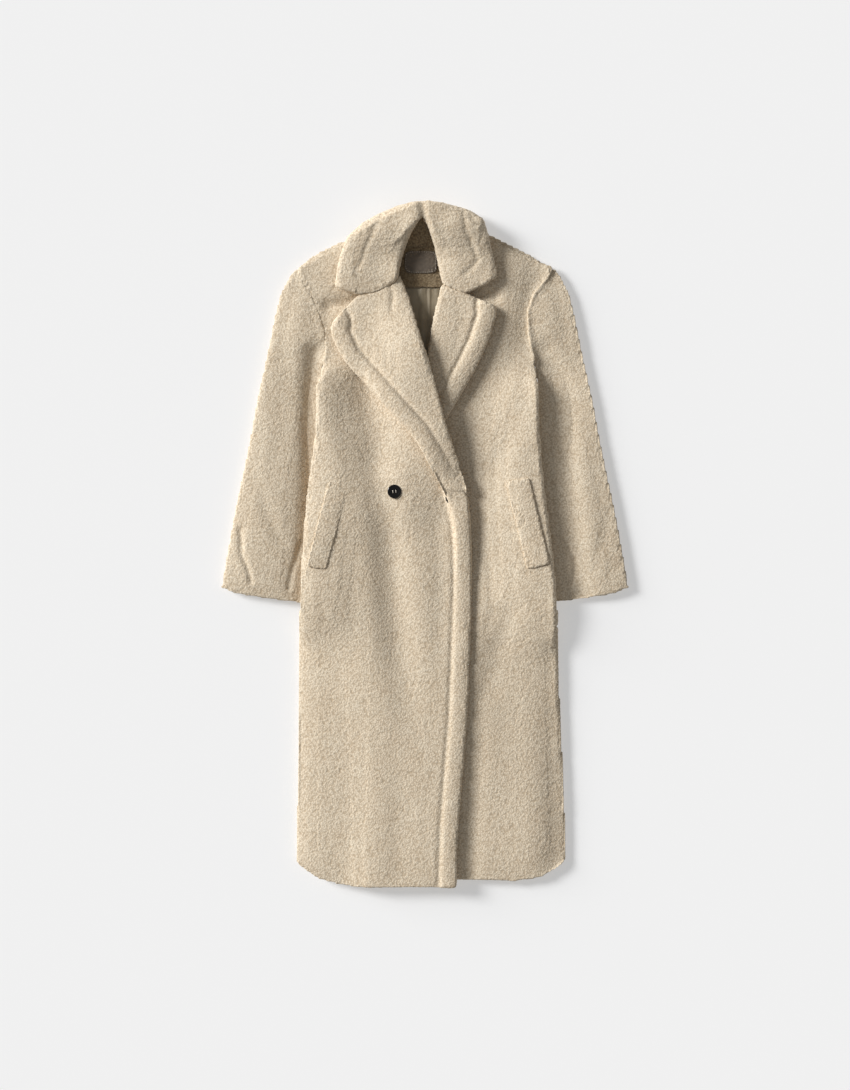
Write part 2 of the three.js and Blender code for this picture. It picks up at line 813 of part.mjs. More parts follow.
// Buttons: a dished disc with a rim and four thread holes
const wasm = await Module();
wasm.setup();

function toSolid(geometry) {
  const bare = geometry.clone();
  bare.deleteAttribute("normal");
  bare.deleteAttribute("uv");
  const merged = mergeVertices(bare, 1e-4);
  return new wasm.Manifold(new wasm.Mesh({
    numProp: 3,
    vertProperties: new Float32Array(merged.attributes.position.array),
    triVerts: new Uint32Array(merged.index.array),
  }));
}

function toGeometry(solid) {
  const { vertProperties, triVerts } = solid.getMesh();
  const geometry = new THREE.BufferGeometry();
  geometry.setAttribute("position", new THREE.BufferAttribute(vertProperties, 3));
  geometry.setIndex(new THREE.BufferAttribute(triVerts, 1));
  return geometry;
}

const BUTTON_FLOOR = (BUTTON_HEIGHT - BUTTON_DISH) / BUTTON_HEIGHT;
const BUTTON_PROFILE = rows(["radius", "height"], [
  [0, 0],
  [0.9, 0],
  [1, 0.35],
  [1, 0.75],
  [0.9, 1],
  [0.78, 1],
  [0.66, BUTTON_FLOOR],
  [0, BUTTON_FLOOR],
]);
function buttonGeometry() {
  const profile = BUTTON_PROFILE.map(
    ({ radius, height }) => new THREE.Vector2(BUTTON_RADIUS * radius, BUTTON_HEIGHT * height),
  );
  const disc = new THREE.LatheGeometry(profile, BUTTON_SIDES).rotateX(Math.PI / 2);
  let solid = toSolid(disc);
  for (const [sx, sy] of [[1, 1], [-1, 1], [-1, -1], [1, -1]]) {
    const drill = new THREE.CylinderGeometry(BUTTON_HOLE_RADIUS, BUTTON_HOLE_RADIUS,
      BUTTON_HEIGHT * 4, HOLE_SIDES).rotateX(Math.PI / 2);
    drill.translate(sx * BUTTON_HOLE_OFFSET, sy * BUTTON_HOLE_OFFSET, 0);
    solid = solid.subtract(toSolid(drill));
  }
  return toGeometry(solid);
}

// A button rests just above the highest cloth under it
const RIM_SPOTS = 12;
function button(name, { x, y }, cloth) {
  const ring = Array.from({ length: RIM_SPOTS }, (_, k) => (2 * Math.PI * k) / RIM_SPOTS);
  const spots = ring.map((turn) => new THREE.Vector2(
    x + BUTTON_RADIUS * Math.cos(turn),
    y + BUTTON_RADIUS * Math.sin(turn),
  ));
  const seat = Math.max(...[...spots, new THREE.Vector2(x, y)].map(
    (spot) => pieceHeight(cloth, spot).height,
  )) + SEAM_GAP;
  place(name, buttonGeometry().translate(x, y, seat), resin);
  const cover = spots.map((spot) => ({ x: spot.x, y: spot.y, z: seat + BUTTON_HEIGHT }));
  cover.push({ x, y, z: seat + BUTTON_HEIGHT });
  return { cover, coverStep: BUTTON_RADIUS / 2 };
}
button("button", BUTTON_PLACE, frontRight);
const fastening = button("button_fastening", FASTENING_PLACE, frontRight);

const lapelGrowth = (y) => THREE.MathUtils.lerp(
  LAPEL_GROWTH.least,
  1,
  smooth(y, LAPEL_GROWTH.from, LAPEL_GROWTH.to),
);
const lapelRight = lapel(
  "right",
  { on: [frontRight, coveredLapel, back, lining, fastening], ...FALL.lapelRight },
  ({ y }, away) => (LAPEL_CLOTH + border(away.first)) * lapelGrowth(y),
);
place("lapel_right", lapelRight.geometry, pile);

// Collar stand, rising from the back neck seam to the roll
const STAND_FOOT = { y: 539, z: 9.1 };
const STAND_HEAD = { y: 599, z: 27 };
const stand = clothPiece({
  sides: fourSided(STAND, LIPPED(5, 0.03, 0.1), LIPPED(5, 0.03, 0.1)),
  base: ({ y }) => THREE.MathUtils.mapLinear(y, STAND_FOOT.y, STAND_HEAD.y, STAND_FOOT.z, STAND_HEAD.z),
  thickness: () => STAND_CLOTH,
  edges: SOFT_EDGES,
});
place("collar_stand", stand.geometry, pile);

// Collar fall: highest along the roll at the back of the neck, down to the surface behind it
const COLLAR_CREST = 50;
const COLLAR_RIM = () => ({ rim: 0.35, radius: 14 });
const COLLAR_SHARES = [0, 0.02, 0.09, 0.22, 0.36, 0.5, 0.64, 0.78, 0.9, 1];
const roundNeck = (right, left) => chain(
  along(points(right), COLLAR_SHARES),
  along(points(left).reverse(), COLLAR_SHARES).reverse(),
);
const collarEnd = (gorge, end) => chain(
  along(points(gorge), [0, 0.05, 0.2, 0.6, 1]),
  along(points(end), [0, 0.35, 0.7, 0.94, 1]),
);
const collarRest = {
  on: [frontRight, frontLeft, back, neckFacing, label, stand],
  ...FALL.collar,
};
const collar = clothPiece({
  sides: {
    bottom: roundNeck(COLLAR_OUTER_RIGHT, COLLAR_OUTER_LEFT),
    top: roundNeck(COLLAR_INNER_RIGHT, COLLAR_INNER_LEFT),
    first: collarEnd(GORGE_RIGHT, COLLAR_END_RIGHT).reverse(),
    last: collarEnd(GORGE_LEFT, COLLAR_END_LEFT).reverse(),
  },
  rest: collarRest,
  gap: () => LOOSE_GAP,
  thickness: (point, away) => {
    const plain = COLLAR_CLOTH + border(away.bottom);
    const toCrest = COLLAR_CREST - restHeight(point, collarRest);
    const rise = smooth(point.y, CREST_RISE.from, CREST_RISE.to);
    return THREE.MathUtils.lerp(plain, Math.max(plain, toCrest), rise);
  },
  edges: {
    bottom: COLLAR_RIM,
    top: COLLAR_RIM,
    first: COLLAR_SEAM,
    last: COLLAR_SEAM,
  },
});
place("upper_collar", collar.geometry, pile);

// Pocket welts on the fronts
function welt(name, corners, front) {
  const piece = clothPiece({
    sides: fourSided(corners, LIPPED(4, 0.05, 0.17), LIPPED(7, 0.012, 0.045)),
    rest: { on: [front], ...FALL.welt },
    gap: () => SEAM_GAP * 2,
    thickness: () => WELT_CLOTH,
    edges: SOFT_EDGES,
  });
  place(name, piece.geometry, pile);
}
welt("pocket_welt_right", WELT_RIGHT, frontRight);
welt("pocket_welt_left", WELT_LEFT, frontLeft);

export default group;
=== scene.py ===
"""A long double-breasted coat of curly pile cloth, laid flat on its back with its front up.
Plan tables are in millimetres, in the part's own frame: +X is the wearer's left, +Y the collar."""
import math

import bmesh
import bpy
import numpy as np
from mathutils import Matrix, Vector
from mathutils.bvhtree import BVHTree


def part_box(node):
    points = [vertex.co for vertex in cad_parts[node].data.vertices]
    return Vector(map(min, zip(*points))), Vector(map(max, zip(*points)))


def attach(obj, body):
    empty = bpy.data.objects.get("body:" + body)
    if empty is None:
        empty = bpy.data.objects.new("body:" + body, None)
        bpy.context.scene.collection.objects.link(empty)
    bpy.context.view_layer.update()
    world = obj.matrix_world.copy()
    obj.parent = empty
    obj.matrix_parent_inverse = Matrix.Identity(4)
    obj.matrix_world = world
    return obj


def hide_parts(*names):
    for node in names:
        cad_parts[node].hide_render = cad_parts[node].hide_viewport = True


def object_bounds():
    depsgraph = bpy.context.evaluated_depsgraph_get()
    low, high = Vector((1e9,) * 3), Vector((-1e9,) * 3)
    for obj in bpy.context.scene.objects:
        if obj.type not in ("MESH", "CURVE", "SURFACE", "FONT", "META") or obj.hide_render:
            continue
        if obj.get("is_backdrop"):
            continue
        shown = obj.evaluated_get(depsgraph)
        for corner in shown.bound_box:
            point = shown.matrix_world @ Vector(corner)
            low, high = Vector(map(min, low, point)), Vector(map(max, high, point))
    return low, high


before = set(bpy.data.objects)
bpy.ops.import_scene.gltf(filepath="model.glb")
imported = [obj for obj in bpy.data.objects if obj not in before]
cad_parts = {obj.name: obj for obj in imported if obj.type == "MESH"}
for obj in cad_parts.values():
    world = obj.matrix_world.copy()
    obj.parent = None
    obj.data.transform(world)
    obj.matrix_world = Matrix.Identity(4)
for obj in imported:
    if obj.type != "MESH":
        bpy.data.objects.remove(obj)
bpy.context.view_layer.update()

MM = 0.001
CURL_SPACING = 4.8 * MM
CURL_DEPTH = 1.1 * MM
CURL_SEAT = 0.7
CURL_CELL = 3.1 * MM
FIBRE_FLECK = 1.1 * MM
NAP_PATCH = 34 * MM
LOWEST = 0.2 * MM
ABOVE_ALL = 100 * MM

# Lengths in millimetres
BORDER_WIDTH = 33
BORDER_CROWN = 1.8
STITCH_WIDTH = 4.5
EDGE_FULLNESS = {"top": 1.8, "underside": 0.4, "all": 1.8}
ARMHOLE_FULLNESS = 1.8
ARMHOLE_SPREAD = 2.4
ARMHOLE_WIDTH = 7
SIDE_WIDTH = 16
WELT_SINK = 3.2
WELT_SEAM_SINK = 0.8
WELT_SEAM_WIDTH = 13
FULL_FRAME = 36
LENS = 120

# Share of a crease that reaches the surfaces which don't face up
UNDERSIDE_SHARE = 0.3

# Rounds of easing: pairs that smooth without shrinking, and those that level the flat areas
EASE_ROUNDS = 12
EASE_PULL = 0.5
EASE_PUSH = -0.53
LEVEL_ROUNDS = 45

# Height and centre of the camera's view, in metres
VIEW_HEIGHT = 1.962
VIEW_CENTRE = Vector((0, 0.0009, 0.02))


# Plan tables, in millimetres

FRONT_EDGE_RIGHT = [(57, -616.5), (60, -508), (76, -307), (84, -88), (84.5, 0), (79, 82)]
ROLL_RIGHT = [(79, 82), (69, 123), (37, 220), (17.5, 294)]
LAPEL_EDGE_RIGHT = [
    (-166, 401), (-168, 379), (-146, 334), (-110, 294), (-71, 250), (-21.6, 196),
    (7, 147), (34, 97), (45, 74),
]
LAPEL_EDGE_LEFT = [
    (126, 430), (127, 411), (111.6, 363), (92, 320), (72, 284.5), (40, 230),
    (14, 180), (-20, 125), (-50, 82),
]
COLLAR_STITCH_RIGHT = [
    (-78, 591), (-92, 565), (-106.6, 533.7), (-112, 514), (-124, 493.6), (-121, 483),
    (-101, 475), (-86, 471),
]
COLLAR_STITCH_LEFT = [
    (68.4, 596.7), (73.8, 565), (85.7, 536.6), (94.3, 514), (82.8, 496.4), (71.5, 487.8),
]
ARMHOLES = [
    [(-181, 335), (-177.5, 365), (-186.5, 400), (-196, 430), (-209, 455), (-223, 480), (-228, 502)],
    [(196, 335), (191.5, 365), (186, 400), (188, 430), (199, 455), (219, 480), (232, 502)],
]
SIDE_EDGES = [
    [(-231, -565), (-230.4, -460), (-228.6, -280), (-225, -100), (-220, 0), (-211.5, 100),
     (-198, 200), (-196, 285)],
    [(253.3, -565), (252, -460), (243.5, -280), (237.4, -100), (229, 0), (216, 100),
     (207.5, 200), (205, 285)],
]

WELT_INNER_LINES = {
    "pocket_welt_right": [(-178, -43), (-138, 101)],
    "pocket_welt_left": [(184, -42), (144, 115)],
}
LABEL_SIZE = {"centre": (-7.5, 510.5), "half": (29.4, 20.4), "corner": 5}
LINING_FOLDS = [
    (-60, 0.2), (-34, 0.7), (-14, 0.5), (1.5, 1.5), (3, 0), (9, 0.9), (10.5, 0), (26, 0.5), (40, 0),
]
BUTTON = {"radius": 12.5, "floor": 2.9, "hole": 1.15, "hole_offset": 2.7, "turn": 8}
HOLE_CORNERS = [(1, 1), (-1, 1), (-1, -1), (1, -1)]
BUTTON_PROFILE = [
    (0, 0), (11.2, 0), (12.1, 0.5), (12.5, 1.5), (12.4, 2.8), (12, 3.7), (11.3, 4.15),
    (10.5, 4.2), (9.5, 4.0), (8.4, 3.5), (7, 3.1), (5, 2.95), (0, 2.9),
]

# How far the body's edge sinks beside each sleeve, the wearer's right first
SIDE_ROUNDING = [2.4, -1.5]

# Where a lapel turns out of the front edge: the edge swells and widens, and the lapel's foot sinks
BREAK = {
    "swell": 8.4, "swell_from": -90, "swell_full": 70, "swell_hold": 98, "swell_end": 124,
    "widen": 8, "widen_from": 20, "widen_full": 92,
    "roll_rise": 3, "roll_width": 16,
    "thin": 8, "thin_from": 84, "thin_to": 210, "sink": 11, "sink_from": 102, "sink_full": 80,
}

# The hollow that runs from the left shoulder down past the collar and the lapel
SHOULDER_HOLLOW = [
    (200, 575, 0.4), (202, 520, 0.8), (200, 460), (194, 400), (168, 345, 0.8), (122, 270, 0.4),
    (94, 210, 0.1),
]

# Soft troughs, or ridges where the depth is negative: plan line, half width, depth. A third
# value at a point is its share of the depth.
FRONT_RIGHT_TROUGHS = [
    ([(-104, 298), (-84, 208), (-84, 150), (-84, 118, 0.8), (-66, 0, 0.85), (-57, -98, 0.8),
      (-46, -185, 0.75), (-36, -270, 0.45), (-24, -350, 0.1)], 31, 9.5),
    ([(-80, 290), (-54, 220), (-44, 170, 0.6), (-40, 130, 0)], 26, 3.2),
    ([(-186, 280), (-160, 170), (-154, 100), (-172, 50, 0.2)], 20, -1.6),
    ([(-118, 84, 0.4), (-112, 20), (-108, -98), (-110, -190, 0.5), (-114, -260, 0.2)], 36, -5),
    ([(-150, 10, 0.3), (-151, -60), (-152, -130), (-150, -190, 0.3)], 24, -2.2),
    ([(-34, 60, 0.4), (-14, -60), (4, -190, 0.6)], 20, -0.6),
    ([(-150, -330, 0.3), (-128, -430), (-134, -580)], 34, 1.2),
    ([(-60, -360, 0.3), (-44, -470), (-50, -590)], 26, 1.8),
    ([(22, 40), (30, -80), (24, -210, 0.3)], 14, 1.2),
    ([(-100, 446), (-132, 438), (-172, 432)], 12, 6),
]
FRONT_LEFT_TROUGHS = [
    ([(186, 300), (156, 208), (122, 136), (104, 60, 0.4)], 22, 3),
    (SHOULDER_HOLLOW, 30, 6.2),
    ([(90, -60, 0.4), (88, -206), (84, -330, 0.8), (80, -420, 0.3)], 34, -4),
    ([(66, 458), (92, 452), (124, 450)], 12, 8),
    ([(150, -125), (128, -190), (114, -260)], 20, 2.2),
    ([(232, -220, 0.3), (246, -400, 0.8), (252, -560)], 40, 8),
    ([(118, -40), (124, -110), (112, -150)], 10, 1),
    ([(104, -200, 0.4), (96, -380), (84, -590)], 16, 3),
]
LAPEL_RIGHT_TROUGHS = [
    ([(-63.5, 467.6), (-57.6, 454.5), (-59.4, 424.6)], 5, 1.8),
    ([(-100, 416), (-80, 376), (-52, 326)], 18, 1.2),
]
LAPEL_LEFT_TROUGHS = [
    ([(60, 440), (66, 400), (56, 350)], 16, 1.2),
]
COLLAR_TROUGHS = [
    ([(-5.4, 613), (-3, 598), (0, 586)], 6, 3.4),
    (COLLAR_STITCH_RIGHT, STITCH_WIDTH, 1.5),
    (COLLAR_STITCH_LEFT, STITCH_WIDTH, 1.5),
    ([(-66, 560), (-58, 520), (-60, 494)], 20, -2.2),
    ([(52, 570), (56, 535), (58, 505)], 20, -2.2),
    ([(-38, 485), (-28, 535), (-14, 580)], 24, -6.5),
]
SLEEVE_RIGHT_TROUGHS = [
    ([(-199, 345, 0.8), (-203, 280), (-205, 200, 1.1), (-204, 110, 0.9), (-213, 0, 0.6),
      (-222, -90, 0.35)], 17, 11),
    ([(-332.5, 28), (-330.5, -14.4), (-318.8, -43.4), (-313.2, -65.7)], 5, 2.6),
    ([(-223.7, 3.6), (-240.3, -48.8), (-245.7, -77.8)], 5, 2.4),
    ([(-252, 330), (-262, 200), (-284, 60, 0.4)], 22, 1.6),
    ([(-304, 120, 0.5), (-284, 60), (-262, 10)], 12, 1.4),
    ([(-240, 455), (-250, 400), (-258, 340)], 16, 1.2),
]
SLEEVE_LEFT_TROUGHS = [
    ([(218, 345, 0.8), (240, 298, 1.1), (248, 250, 1.3), (255, 190, 1.4), (262, 90), (269, 10),
      (277, -88)], 25, 9.5),
    ([(218, 540, 0.6), (218, 470), (206, 400), (196, 350, 0.5)], 52, 4.4),
    ([(250, 440, 0.5), (268, 350), (288, 250), (302, 190), (314, 82), (330, -40)], 32, 3.4),
    ([(252.4, 4.9), (268.9, -24.3), (270.4, -37.8), (266.4, -65.7)], 5, 2.4),
    ([(274, 330), (290, 200), (314, 60, 0.4)], 22, 1.8),
    ([(336, 60, 0.5), (318, 10), (306, -40)], 12, 1.4),
    ([(236, 470), (246, 410), (252, 350)], 16, 1.2),
]
BACK_TROUGHS = [
    ([(-150, 300), (-120, 60), (-135, -240)], 26, 1.6),
    ([(130, 260), (150, -20), (140, -330)], 28, 1.5),
    ([(-20, -200), (10, -380), (-8, -560)], 24, 1.4),
    ([(30, 420), (16, 260), (24, 100)], 18, 1.2),
]


# Nodes and colours

def linear(hex_colour):
    """An sRGB hex value as a linear colour."""
    channels = [int(hex_colour[k:k + 2], 16) / 255 for k in (1, 3, 5)]
    return tuple(
        c / 12.92 if c <= 0.04045 else ((c + 0.055) / 1.055) ** 2.4 for c in channels
    ) + (1.0,)


def add(tree, kind, links=None, **settings):
    """Adds a node, sets its sockets and properties by name, and links outputs to its sockets."""
    node = tree.nodes.new(kind)
    for name, value in settings.items():
        if hasattr(node, name):
            setattr(node, name, value)
        else:
            node.inputs[name.replace("_", " ")].default_value = value
    for socket, output in (links or {}).items():
        tree.links.new(output, node.inputs[socket])
    return node


def new_material(name):
    material = bpy.data.materials.new(name)
    material.use_nodes = True
    material.node_tree.nodes.clear()
    return material, material.node_tree


def ramp(tree, factor, *stops):
    """Turns a value into a colour between two stops, each a position and an sRGB hex value."""
    node = add(tree, "ShaderNodeValToRGB", {"Fac": factor})
    for element, (position, colour) in zip(node.color_ramp.elements, stops):
        element.position = position
        element.color = linear(colour)
    return node.outputs["Color"]


def bump(tree, height, strength, distance, below=None):
    """Raises the surface by a height, over another bump where one is given."""
    links = {"Height": height}
    if below is not None:
        links["Normal"] = below
    return add(tree, "ShaderNodeBump", links, Strength=strength, Distance=distance).outputs[0]


def shade(tree, shader):
    add(tree, "ShaderNodeOutputMaterial", {"Surface": shader.outputs[0]})


def pile_material(name, tip, root, nap_light, nap_dark):
    """Polyester boucle pile on a knitted back, tumbled into short curls: matt, with a pale bloom
    where fibres stand against the light, painted shade in the hollows between the curls, and uneven
    where the nap turns."""
    material, tree = new_material(name)
    spots = add(tree, "ShaderNodeTexCoord").outputs["Object"]
    # Single curls are about 3 mm across and wander, so they are drawn as bent cells
    bend = add(tree, "ShaderNodeTexNoise", {"Vector": spots},
               Scale=1 / (4 * MM), Detail=1.0)
    push = add(tree, "ShaderNodeVectorMath", {0: bend.outputs["Color"]},
               operation="SCALE", Scale=3 * MM)
    wander = add(tree, "ShaderNodeVectorMath", {0: spots, 1: push.outputs[0]},
                 operation="ADD")
    cell = add(tree, "ShaderNodeTexVoronoi", {"Vector": wander.outputs[0]},
               feature="SMOOTH_F1", Scale=1 / CURL_CELL, Smoothness=0.4)
    curl = add(tree, "ShaderNodeAttribute", attribute_name="curl")
    crown = add(tree, "ShaderNodeMapRange", {"Value": cell.outputs["Distance"]},
                From_Min=0.75, From_Max=0.1)
    raised = add(tree, "ShaderNodeMix", {2: curl.outputs["Fac"], 3: crown.outputs["Result"]},
                 data_type="FLOAT", Factor=0.7)
    # Painted shade: the root colour fills the hollows between the curls, the tip colour their crowns
    depth = ramp(tree, raised.outputs[0], (0.1, root), (0.72, tip))
    # Nap turns over in patches of 30 to 40 mm
    nap = add(tree, "ShaderNodeTexNoise", {"Vector": spots},
              Scale=1 / NAP_PATCH, Detail=2.0, Roughness=0.6)
    nap_colour = ramp(tree, nap.outputs["Fac"], (0.3, nap_dark), (0.7, nap_light))
    turned = add(tree, "ShaderNodeMix", {6: depth, 7: nap_colour},
                 data_type="RGBA", blend_type="MULTIPLY", Factor=1.0)
    curl_lift = bump(tree, crown.outputs["Result"], 0.6, 0.7 * MM)
    # Fibres are 0.02 mm thick; they are drawn as 1 mm flecks, as fine as the render shows
    fibre = add(tree, "ShaderNodeTexNoise", {"Vector": spots},
                Scale=1 / FIBRE_FLECK, Detail=3.0, Roughness=0.65)
    lift = bump(tree, fibre.outputs["Fac"], 0.5, 0.5 * MM, below=curl_lift)
    shader = add(
        tree, "ShaderNodeBsdfPrincipled", {"Base Color": turned.outputs[2], "Normal": lift},
        Roughness=0.94, Sheen_Weight=0.3, Sheen_Roughness=0.45,
        Sheen_Tint=linear("#f6ede0"), Specular_IOR_Level=0.2, IOR=1.5,
    )
    shade(tree, shader)
    return material


def satin_material():
    """Woven viscose satin, pressed: smooth, with a soft gloss across the yarns."""
    material, tree = new_material("woven_viscose_satin")
    spots = add(tree, "ShaderNodeTexCoord").outputs["Object"]
    # Satin yarns lie 0.2 mm apart; they are drawn 1.2 mm apart to show as a fine ribbing
    yarns = add(tree, "ShaderNodeTexWave", {"Vector": spots},
                wave_type="BANDS", bands_direction="X", Scale=1 / (1.2 * MM) / 20,
                Distortion=1.5, Detail=2.0)
    mottle = add(tree, "ShaderNodeTexNoise", {"Vector": spots},
                 Scale=1 / (18 * MM), Detail=3.0)
    colour = ramp(tree, mottle.outputs["Fac"], (0.3, "#8f826b"), (0.7, "#a2957d"))
    lift = bump(tree, yarns.outputs["Fac"], 0.25, 0.2 * MM)
    shader = add(
        tree, "ShaderNodeBsdfPrincipled", {"Base Color": colour, "Normal": lift},
        Roughness=0.42, Anisotropic=0.4, Sheen_Weight=0.1, IOR=1.5,
    )
    shade(tree, shader)
    return material


def label_material():
    """Damask-woven polyester ribbon, bare: dull, with fine rows of weft across it."""
    material, tree = new_material("woven_polyester_ribbon")
    spots = add(tree, "ShaderNodeTexCoord").outputs["Object"]
    # Weft rows lie 0.25 mm apart; they are drawn 0.9 mm apart
    weft = add(tree, "ShaderNodeTexWave", {"Vector": spots},
               wave_type="BANDS", bands_direction="Y", Scale=1 / (0.9 * MM) / 20,
               Distortion=0.6, Detail=1.0)
    mottle = add(tree, "ShaderNodeTexNoise", {"Vector": spots},
                 Scale=1 / (9 * MM), Detail=3.0)
    # The ribbon's own taupe grey, darkened further as painted shade for its place deep in the neck
    # opening
    colour = ramp(tree, mottle.outputs["Fac"], (0.3, "#5e5448"), (0.7, "#6e6254"))
    lift = bump(tree, weft.outputs["Fac"], 0.4, 0.2 * MM)
    shader = add(
        tree, "ShaderNodeBsdfPrincipled", {"Base Color": colour, "Normal": lift},
        Roughness=0.7, Sheen_Weight=0.15, IOR=1.5,
    )
    shade(tree, shader)
    return material


def resin_material():
    """Cast polyester resin, tumble polished: near black and glossy, with a faint brown cloud."""
    material, tree = new_material("polished_polyester_resin")
    spots = add(tree, "ShaderNodeTexCoord").outputs["Object"]
    cloud = add(tree, "ShaderNodeTexNoise", {"Vector": spots},
                Scale=1 / (7 * MM), Detail=4.0, Distortion=1.2)
    colour = ramp(tree, cloud.outputs["Fac"], (0.4, "#060505"), (0.75, "#120d0b"))
    scuffs = add(tree, "ShaderNodeMapRange", {"Value": cloud.outputs["Fac"]},
                 To_Min=0.12, To_Max=0.2)
    shader = add(tree, "ShaderNodeBsdfPrincipled",
                 {"Base Color": colour, "Roughness": scuffs.outputs["Result"]}, IOR=1.5)
    shade(tree, shader)
    return material


def thread_material():
    """Twisted polyester sewing thread: a pale cord with a soft gloss and slanting plies."""
    material, tree = new_material("twisted_polyester_thread")
    spots = add(tree, "ShaderNodeTexCoord").outputs["Object"]
    # Plies turn once in 0.8 mm; they are drawn 1 mm apart
    plies = add(tree, "ShaderNodeTexWave", {"Vector": spots},
                wave_type="BANDS", bands_direction="DIAGONAL", Scale=1 / (1.0 * MM) / 20)
    colour = ramp(tree, plies.outputs["Fac"], (0, "#b5ab9a"), (1, "#ddd5c8"))
    shader = add(tree, "ShaderNodeBsdfPrincipled", {"Base Color": colour},
                 Roughness=0.5, Sheen_Weight=0.2, IOR=1.5)
    shade(tree, shader)
    return material


def floor_material():
    """Opal acrylic sheet, sanded and lit evenly from below: matt and pale, so shadows stay light."""
    material, tree = new_material("sanded_opal_acrylic")
    spots = add(tree, "ShaderNodeTexCoord").outputs["Object"]
    tooth = add(tree, "ShaderNodeTexNoise", {"Vector": spots}, Scale=300.0)
    lift = bump(tree, tooth.outputs["Fac"], 0.05, 0.2 * MM)
    shader = add(tree, "ShaderNodeBsdfPrincipled", {"Normal": lift},
                 Base_Color=linear("#c9c9c9"), Roughness=0.95, Specular_IOR_Level=0.1,
                 Emission_Color=linear("#ffffff"), Emission_Strength=0.375)
    shade(tree, shader)
    return material


TEDDY = pile_material("tumbled_polyester_boucle", "#e9dbc4", "#c2b096", "#ffffff", "#faf7f4")
# A darker copy of the pile: painted shade for the cloth deep in the neck opening
TEDDY_PAINTED_SHADE = pile_material("polyester_boucle_painted_shade", "#9f8e74", "#76664f", "#ffffff", "#f4efe8")
SATIN = satin_material()
RIBBON = label_material()
RESIN = resin_material()
THREAD = thread_material()


# Measuring in plan

def nearest_on(points, line):
    """Distance in plan from each point to a line, and the depth share at the line's nearest place."""
    nearest = np.full(len(points), np.inf)
    share = np.ones(len(points))
    knots = [(np.array(knot[:2]) * MM, knot[2] if len(knot) > 2 else 1.0) for knot in line]
    for (start, first), (end, last) in zip(knots[:-1], knots[1:]):
        run = end - start
        along = np.clip((points[:, :2] - start) @ run / (run @ run), 0, 1)
        away = points[:, :2] - start - along[:, None] * run
        distance = np.hypot(away[:, 0], away[:, 1])
        closer = distance < nearest
        nearest[closer] = distance[closer]
        share[closer] = (first + along * (last - first))[closer]
    return nearest, share


def distance_to(points, line):
    return nearest_on(points, line)[0]


def hump(distance, width):
    """A soft rise of 1 along a line, whose half width is in millimetres."""
    return np.exp(-((distance / (width * MM)) ** 2))


def smoothstep(low, high, values):
    share = np.clip((values - low) / (high - low), 0, 1)
    return share * share * (3 - 2 * share)


def ripple(points, spacing, seed, waves=28):
    """Random waves with a spread of 1 whose crests lie about the spacing apart."""
    rng = np.random.default_rng(seed)
    turn = rng.uniform(0, 2 * np.pi, waves)
    rate = 2 * np.pi / spacing * rng.uniform(0.8, 1.25, waves)
    run = np.stack([np.cos(turn), np.sin(turn), rng.uniform(-0.6, 0.6, waves)]) * rate
    shift = rng.uniform(0, 2 * np.pi, waves)
    return np.cos(points @ run + shift).sum(1) * math.sqrt(2 / waves)


def curls(points, seed):
    """Height of the curled pile from 0 between the curls to 1 on their crowns."""
    drift = np.stack([ripple(points, 5 * CURL_SPACING, seed + k) for k in (1, 2, 3)], 1)
    wandering = points + 0.18 * CURL_SPACING * drift
    worm = 1 - np.exp(-1.5 * np.abs(ripple(wandering, 2 * CURL_SPACING, seed)))
    fleck = 0.5 + 0.5 * np.tanh(ripple(points, 0.8 * CURL_SPACING, seed + 4))
    return np.clip(0.75 * worm + 0.25 * fleck, 0, 1)


# Cloth

def neighbour_mean(values, edges, count):
    total = np.empty((count, values.shape[1]))
    for axis in range(values.shape[1]):
        total[:, axis] = (
            np.bincount(edges[:, 0], values[edges[:, 1], axis], count)
            + np.bincount(edges[:, 1], values[edges[:, 0], axis], count)
        )
    degree = np.bincount(edges.ravel(), minlength=count)
    return total / np.maximum(degree, 1)[:, None]


def read(mesh):
    spots = np.empty(len(mesh.vertices) * 3)
    mesh.vertices.foreach_get("co", spots)
    edges = np.empty(len(mesh.edges) * 2, int)
    mesh.edges.foreach_get("vertices", edges)
    return spots.reshape(-1, 3), edges.reshape(-1, 2)


def smooth(mesh, sharp_from=None):
    """Shades a mesh smooth, apart from edges that turn by more than an angle in degrees."""
    mesh.polygons.foreach_set("use_smooth", [True] * len(mesh.polygons))
    if sharp_from is not None:
        mesh.set_sharp_from_angle(angle=math.radians(sharp_from))
    return mesh


def surface_of(mesh):
    return BVHTree.FromPolygons(
        [vertex.co for vertex in mesh.vertices], [tuple(face.vertices) for face in mesh.polygons])


def height_at(surface, x, y):
    """Height of the surface at a spot seen from above."""
    return surface.ray_cast(Vector((x, y, ABOVE_ALL)), Vector((0, 0, -1)))[0].z


def normals(mesh):
    mesh.update()
    facing = np.empty(len(mesh.vertices) * 3)
    mesh.vertex_normals.foreach_get("vector", facing)
    return facing.reshape(-1, 3)


